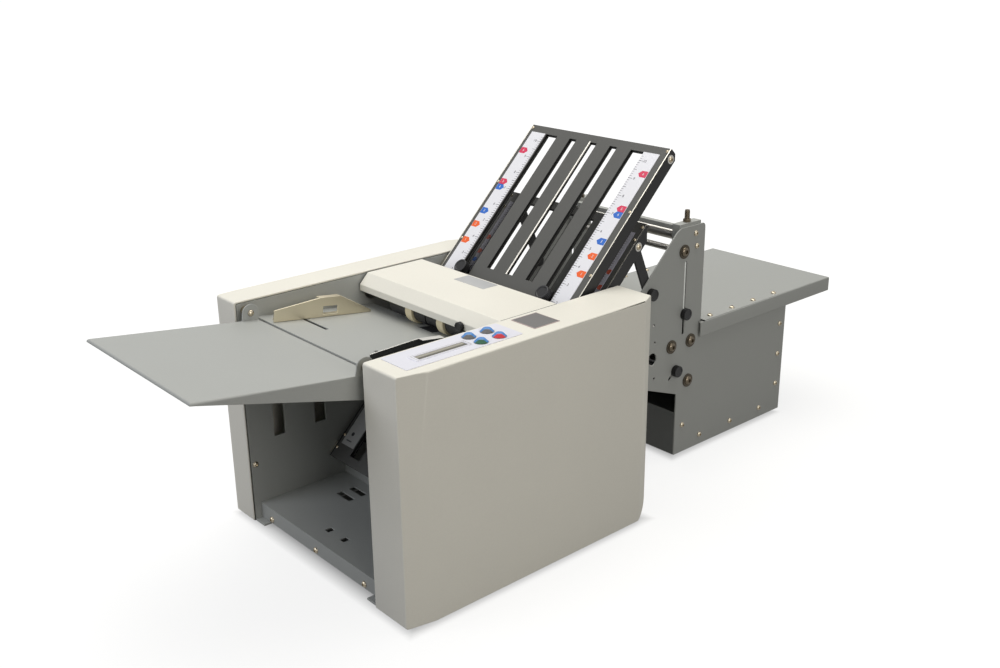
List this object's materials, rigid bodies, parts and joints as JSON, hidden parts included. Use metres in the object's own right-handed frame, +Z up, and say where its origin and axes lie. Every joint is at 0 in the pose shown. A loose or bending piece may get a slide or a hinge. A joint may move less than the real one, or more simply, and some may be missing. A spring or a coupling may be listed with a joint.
{
  "type": "paper folding machine",
  "caption": "Desk paper folding machine with friction feed tray, side guides, fold rollers, slotted fold plates with rulers, and a delivery table.",
  "frame": {"origin": "centre of the bounding box in plan, on the ground under the rubber feet", "axes": "+X from the feed tray to the delivery table, -Y the operator side with the control panel, +Z up"},
  "size_m": [1.0054, 0.354, 0.4272],
  "materials": {
    "cream_paint": "satin",
    "grey_paint": "fine textured satin",
    "dark_paint": "satin",
    "plate_paint": "matt",
    "black_paint": "satin",
    "bright_steel": "bright",
    "black_plastic": "semi gloss",
    "rubber_black": "matt",
    "drum_rubber": "satin",
    "tyre_cream": "matt",
    "panel_film": "satin",
    "lcd": "gloss",
    "board_green": "satin",
    "key_blue": "gloss",
    "key_dark_blue": "gloss",
    "key_red": "gloss",
    "ruler_white": "satin",
    "cast_alloy": "blasted"
  },
  "bodies": {
    "chassis": {"base_plate": "grey_paint", "near_side_frame": "grey_paint", "far_side_frame": "grey_paint", "feed_bed": "grey_paint", "rear_near_plate": "grey_paint", "rear_far_plate": "grey_paint", "joining_brackets": "grey_paint", "delivery_table": "grey_paint", "near_housing": "cream_paint", "far_housing": "cream_paint", "rubber_feet": "rubber_black", "separator_pad": "rubber_black", "drive_belt": "rubber_black", "button_screws": "bright_steel", "tray_pivots": "bright_steel", "roller_bearings": "bright_steel", "plate_seats": "bright_steel", "rear_rods": "bright_steel", "shaft_screws": "bright_steel", "control_panel": "panel_film", "lcd_window": "lcd", "circuit_board": "board_green", "power_inlet": "black_plastic", "drive_motor": "black_paint", "plate_channels": "black_paint", "support_struts": "black_paint", "fold_plate_1": "plate_paint", "fold_plate_2": "plate_paint", "fold_plate_3": "plate_paint", "fold_plate_4": "plate_paint", "fold_rulers": "ruler_white", "rear_box_tray": "dark_paint", "tension_blocks": "cast_alloy"},
    "cover": {"top_cover": "cream_paint"},
    "cover_knob": {"cover_knob": "black_plastic"},
    "start_key": {"start_key": "key_dark_blue"},
    "stop_key": {"stop_key": "key_red"},
    "plus_key": {"plus_key": "key_blue"},
    "minus_key": {"minus_key": "key_blue"},
    "power_switch": {"power_switch": "black_plastic"},
    "feed_tray": {"feed_tray": "grey_paint"},
    "near_guide": {"near_guide": "bright_steel"},
    "far_guide": {"far_guide": "bright_steel"},
    "feed_roller": {"feed_roller": "black_plastic", "feed_tyres": "tyre_cream"},
    "fold_roller_1": {"fold_roller_1": "drum_rubber"},
    "fold_roller_2": {"fold_roller_2": "drum_rubber"},
    "fold_roller_3": {"fold_roller_3": "drum_rubber"},
    "fold_roller_4": {"fold_roller_4": "drum_rubber"},
    "fold_roller_5": {"fold_roller_5": "drum_rubber"},
    "fold_roller_6": {"fold_roller_6": "drum_rubber"},
    "motor_pulley": {"motor_pulley": "bright_steel"},
    "plate_stop_1": {"plate_stop_1": "black_paint", "stop_knobs_1": "black_plastic"},
    "plate_stop_2": {"plate_stop_2": "black_paint"},
    "plate_stop_3": {"plate_stop_3": "black_paint"},
    "plate_stop_4": {"plate_stop_4": "black_paint"},
    "press_roller": {"press_roller": "bright_steel"},
    "height_bar": {"height_bar": "black_plastic"},
    "exit_deflector": {"exit_deflector": "black_plastic"}
  },
  "joints": [
    {"name": "cover_hinge", "type": "hinge", "parent": "chassis", "child": "cover", "pos_m": [-0.06976, 0.009, 0.2731], "axis": [0, 1, 0], "range_deg": [0, 100]},
    {"name": "cover_knob_turn", "type": "hinge", "parent": "cover", "child": "cover_knob", "pos_m": [-0.16007, -0.062, 0.2631], "axis": [1, 0, 0], "range_deg": [0, 90]},
    {"name": "start_key_press", "type": "slide", "parent": "chassis", "child": "start_key", "axis": [0, 0, 1], "range_m": [-0.0008, 0], "stiffness_N_per_m": 600},
    {"name": "stop_key_press", "type": "slide", "parent": "chassis", "child": "stop_key", "axis": [0, 0, 1], "range_m": [-0.0008, 0], "stiffness_N_per_m": 600},
    {"name": "plus_key_press", "type": "slide", "parent": "chassis", "child": "plus_key", "axis": [0, 0, 1], "range_m": [-0.0008, 0], "stiffness_N_per_m": 600},
    {"name": "minus_key_press", "type": "slide", "parent": "chassis", "child": "minus_key", "axis": [0, 0, 1], "range_m": [-0.0008, 0], "stiffness_N_per_m": 600},
    {"name": "power_switch_rock", "type": "hinge", "parent": "chassis", "child": "power_switch", "pos_m": [0.02874, -0.145, 0.081], "axis": [0, 1, 0], "range_deg": [0, 16]},
    {"name": "feed_tray_hinge", "type": "hinge", "parent": "chassis", "child": "feed_tray", "pos_m": [-0.31577, 0.009, 0.2695], "axis": [0, 1, 0], "range_deg": [0, 85]},
    {"name": "near_guide_slide", "type": "slide", "parent": "chassis", "child": "near_guide", "axis": [0, 1, 0], "range_m": [-0.017, 0.05]},
    {"name": "far_guide_slide", "type": "slide", "parent": "chassis", "child": "far_guide", "axis": [0, -1, 0], "range_m": [-0.017, 0.05]},
    {"name": "feed_roller_turn", "type": "hinge", "parent": "chassis", "child": "feed_roller", "pos_m": [-0.14122, 0.009, 0.25448], "axis": [0, 1, 0], "continuous": true},
    {"name": "fold_roller_1_turn", "type": "hinge", "parent": "chassis", "child": "fold_roller_1", "pos_m": [-0.07651, 0.009, 0.24325], "axis": [0, 1, 0], "continuous": true},
    {"name": "fold_roller_2_turn", "type": "hinge", "parent": "chassis", "child": "fold_roller_2", "pos_m": [-0.07651, 0.009, 0.22075], "axis": [0, 1, 0], "continuous": true},
    {"name": "fold_roller_3_turn", "type": "hinge", "parent": "chassis", "child": "fold_roller_3", "pos_m": [-0.05402, 0.009, 0.22075], "axis": [0, 1, 0], "continuous": true},
    {"name": "fold_roller_4_turn", "type": "hinge", "parent": "chassis", "child": "fold_roller_4", "pos_m": [-0.05402, 0.009, 0.19825], "axis": [0, 1, 0], "continuous": true},
    {"name": "fold_roller_5_turn", "type": "hinge", "parent": "chassis", "child": "fold_roller_5", "pos_m": [-0.03152, 0.009, 0.19825], "axis": [0, 1, 0], "continuous": true},
    {"name": "fold_roller_6_turn", "type": "hinge", "parent": "chassis", "child": "fold_roller_6", "pos_m": [-0.03152, 0.009, 0.17575], "axis": [0, 1, 0], "continuous": true},
    {"name": "motor_pulley_turn", "type": "hinge", "parent": "chassis", "child": "motor_pulley", "pos_m": [-0.02826, -0.132, 0.064], "axis": [0, 1, 0], "continuous": true},
    {"name": "plate_stop_1_slide", "type": "slide", "parent": "chassis", "child": "plate_stop_1", "axis": [0.7071, 0, 0.7071], "range_m": [0, 0.205]},
    {"name": "plate_stop_2_slide", "type": "slide", "parent": "chassis", "child": "plate_stop_2", "axis": [-0.7071, 0, -0.7071], "range_m": [0, 0.158]},
    {"name": "plate_stop_3_slide", "type": "slide", "parent": "chassis", "child": "plate_stop_3", "axis": [0.7071, 0, 0.7071], "range_m": [0, 0.12]},
    {"name": "plate_stop_4_slide", "type": "slide", "parent": "chassis", "child": "plate_stop_4", "axis": [-0.7071, 0, -0.7071], "range_m": [0, 0.12]},
    {"name": "press_roller_turn", "type": "hinge", "parent": "chassis", "child": "press_roller", "pos_m": [0.18574, 0.009, 0.305], "axis": [0, 1, 0], "continuous": true},
    {"name": "height_bar_slide", "type": "slide", "parent": "chassis", "child": "height_bar", "axis": [0, 0, 1], "range_m": [-0.027, 0.067]},
    {"name": "deflector_slide", "type": "slide", "parent": "chassis", "child": "exit_deflector", "axis": [0.7071, 0, 0.7071], "range_m": [-0.0138, 0.0056]}
  ],
  "couplings": [
    {"joint": "fold_roller_1_turn", "follows": "fold_roller_2_turn", "ratio": -1},
    {"joint": "fold_roller_3_turn", "follows": "fold_roller_2_turn", "ratio": -1},
    {"joint": "fold_roller_4_turn", "follows": "fold_roller_2_turn", "ratio": 1},
    {"joint": "fold_roller_5_turn", "follows": "fold_roller_2_turn", "ratio": -1},
    {"joint": "fold_roller_6_turn", "follows": "fold_roller_2_turn", "ratio": 1},
    {"joint": "motor_pulley_turn", "follows": "fold_roller_2_turn", "ratio": 2}
  ]
}
